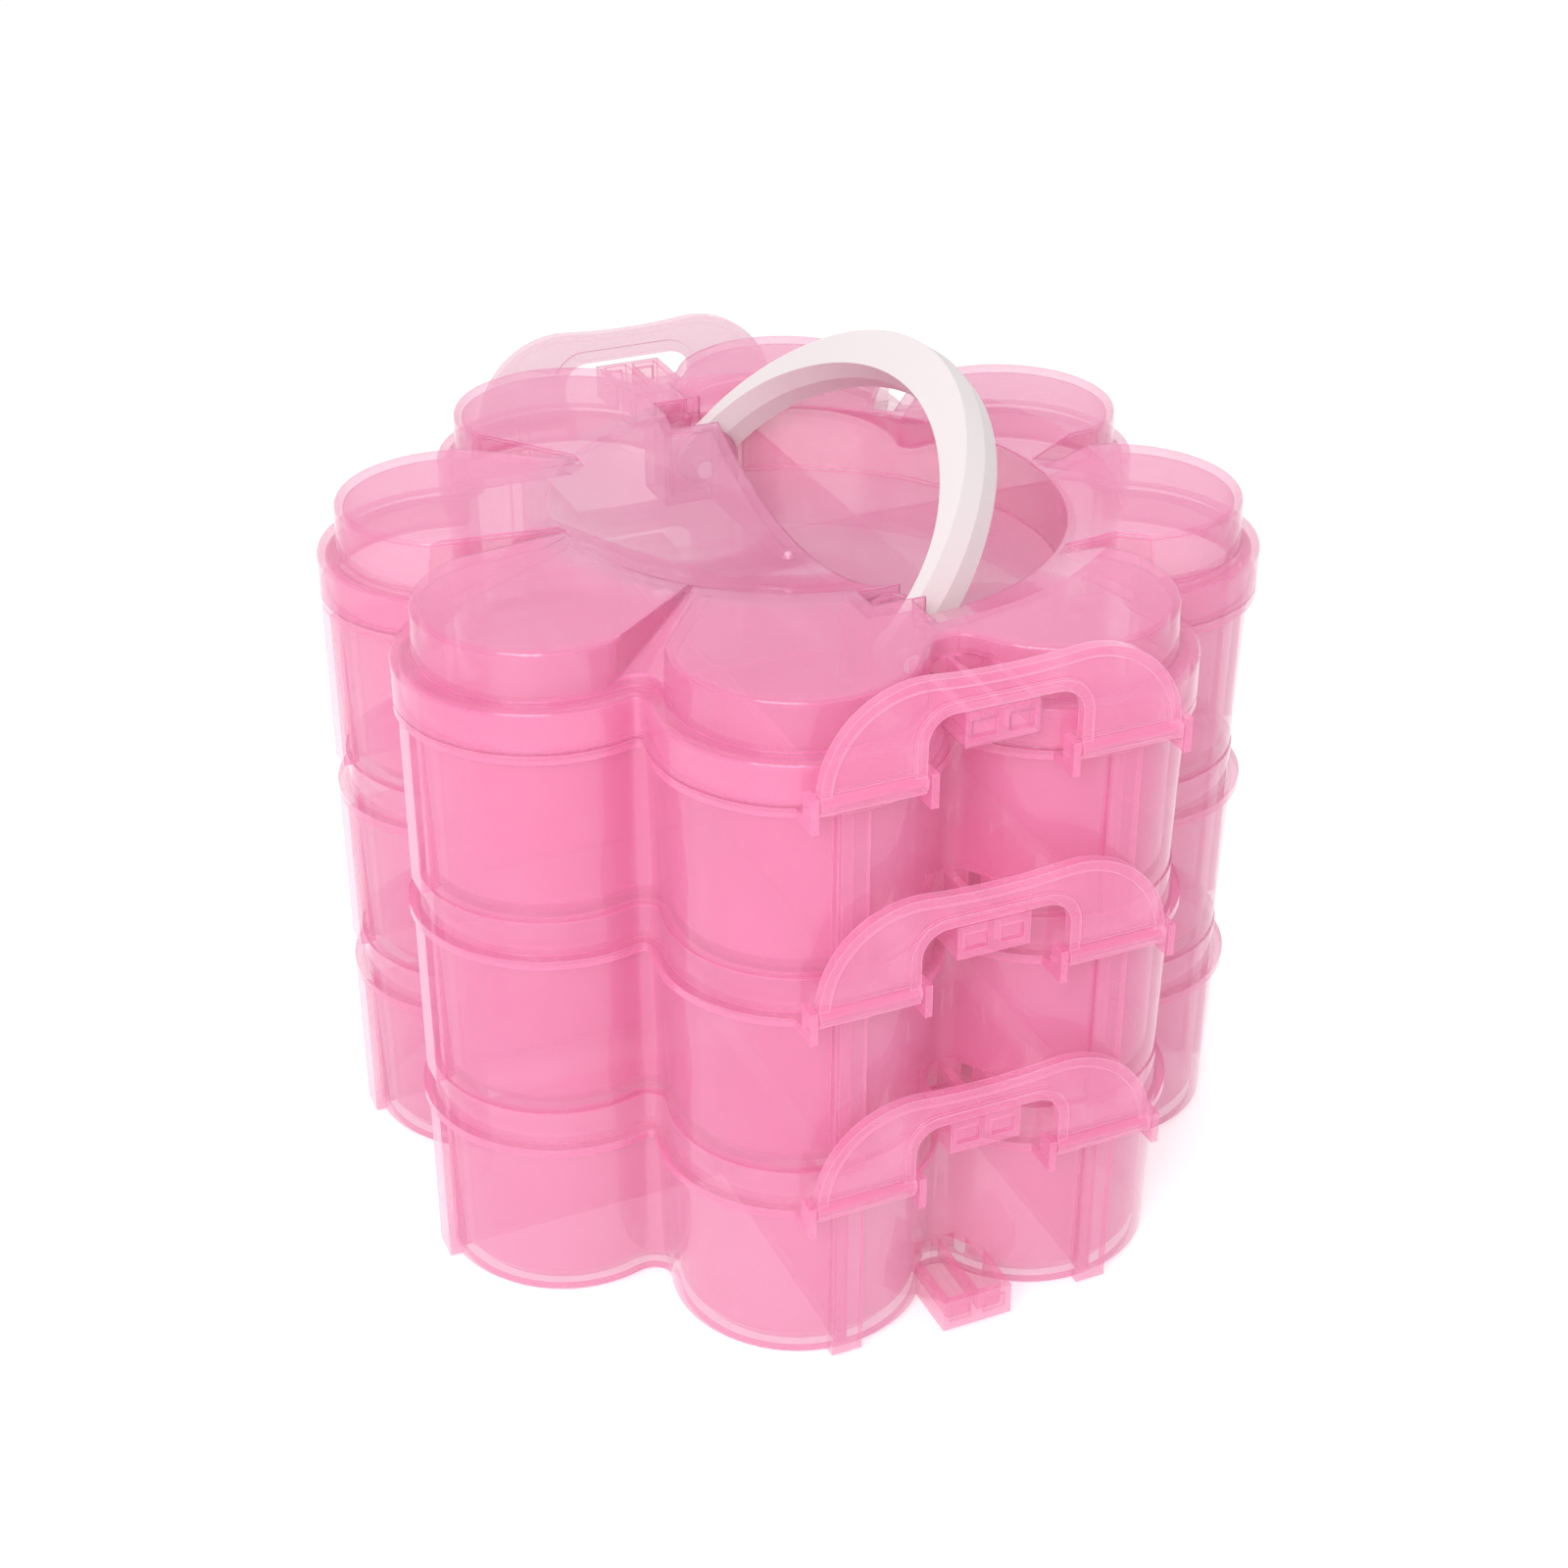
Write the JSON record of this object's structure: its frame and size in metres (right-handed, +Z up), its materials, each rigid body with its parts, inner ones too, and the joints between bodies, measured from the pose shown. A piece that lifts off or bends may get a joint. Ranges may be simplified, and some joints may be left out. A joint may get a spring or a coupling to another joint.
{
  "type": "tool storage caddy",
  "caption": "Flower-shaped stacking caddy of translucent trays with crossed dividers, swing latches, a grooved lid and a folding carry handle.",
  "frame": {"origin": "middle of the bottom tray's underside, on the stack's vertical axis", "axes": "+Z up; latches on the front (-Y) and rear (+Y) valleys; the handle turns about an axis along Y and leans towards +X"},
  "size_m": [0.1522, 0.1594, 0.1442],
  "materials": {
    "tray_plastic": "translucent pink injection-moulded plastic",
    "divider_plastic": "translucent pink injection-moulded plate",
    "latch_plastic": "translucent pink injection-moulded plastic",
    "lid_plastic": "translucent pink injection-moulded plastic",
    "handle_plastic": "opaque warm white satin plastic"
  },
  "bodies": {
    "bottom_tray": {"bottom_tray": "tray_plastic", "bottom_tray_divider_left": "divider_plastic", "bottom_tray_divider_right": "divider_plastic", "bottom_tray_divider_front": "divider_plastic", "bottom_tray_divider_rear": "divider_plastic"},
    "bottom_latch_front": {"bottom_latch_front": "latch_plastic"},
    "bottom_latch_rear": {"bottom_latch_rear": "latch_plastic"},
    "middle_tray": {"middle_tray": "tray_plastic", "middle_tray_divider_left": "divider_plastic", "middle_tray_divider_right": "divider_plastic", "middle_tray_divider_front": "divider_plastic", "middle_tray_divider_rear": "divider_plastic"},
    "middle_latch_front": {"middle_latch_front": "latch_plastic"},
    "middle_latch_rear": {"middle_latch_rear": "latch_plastic"},
    "top_tray": {"top_tray": "tray_plastic", "top_tray_divider_left": "divider_plastic", "top_tray_divider_right": "divider_plastic", "top_tray_divider_front": "divider_plastic", "top_tray_divider_rear": "divider_plastic"},
    "top_latch_front": {"top_latch_front": "latch_plastic"},
    "top_latch_rear": {"top_latch_rear": "latch_plastic"},
    "lid": {"lid": "lid_plastic"},
    "handle": {"handle": "handle_plastic"}
  },
  "joints": [
    {"name": "middle_tray_lift", "type": "slide", "parent": "bottom_tray", "child": "middle_tray", "axis": [0, 0, 1], "range_m": [0, 0.03]},
    {"name": "top_tray_lift", "type": "slide", "parent": "middle_tray", "child": "top_tray", "axis": [0, 0, 1], "range_m": [0, 0.03]},
    {"name": "lid_lift", "type": "slide", "parent": "top_tray", "child": "lid", "axis": [0, 0, 1], "range_m": [0, 0.03]},
    {"name": "handle_swing", "type": "hinge", "parent": "lid", "child": "handle", "pos_m": [0, 0, 0.1114], "axis": [0, 1, 0], "range_deg": [-43, 47]},
    {"name": "bottom_latch_front_swing", "type": "hinge", "parent": "bottom_tray", "child": "bottom_latch_front", "pos_m": [0, -0.07809, 0.035], "axis": [1, 0, 0], "range_deg": [0, 130]},
    {"name": "bottom_latch_rear_swing", "type": "hinge", "parent": "bottom_tray", "child": "bottom_latch_rear", "pos_m": [0, 0.07809, 0.035], "axis": [-1, 0, 0], "range_deg": [0, 130]},
    {"name": "middle_latch_front_swing", "type": "hinge", "parent": "middle_tray", "child": "middle_latch_front", "pos_m": [0, -0.07809, 0.072], "axis": [1, 0, 0], "range_deg": [0, 130]},
    {"name": "middle_latch_rear_swing", "type": "hinge", "parent": "middle_tray", "child": "middle_latch_rear", "pos_m": [0, 0.07809, 0.072], "axis": [-1, 0, 0], "range_deg": [0, 130]},
    {"name": "top_latch_front_swing", "type": "hinge", "parent": "top_tray", "child": "top_latch_front", "pos_m": [0, -0.07809, 0.109], "axis": [1, 0, 0], "range_deg": [0, 130]},
    {"name": "top_latch_rear_swing", "type": "hinge", "parent": "top_tray", "child": "top_latch_rear", "pos_m": [0, 0.07809, 0.109], "axis": [-1, 0, 0], "range_deg": [0, 130]}
  ],
  "couplings": [
    {"joint": "bottom_latch_front_swing", "follows": "middle_tray_lift", "rad_per_m": 75.631},
    {"joint": "bottom_latch_rear_swing", "follows": "middle_tray_lift", "rad_per_m": 75.631},
    {"joint": "middle_latch_front_swing", "follows": "top_tray_lift", "rad_per_m": 75.631},
    {"joint": "middle_latch_rear_swing", "follows": "top_tray_lift", "rad_per_m": 75.631},
    {"joint": "top_latch_front_swing", "follows": "lid_lift", "rad_per_m": 75.631},
    {"joint": "top_latch_rear_swing", "follows": "lid_lift", "rad_per_m": 75.631}
  ]
}
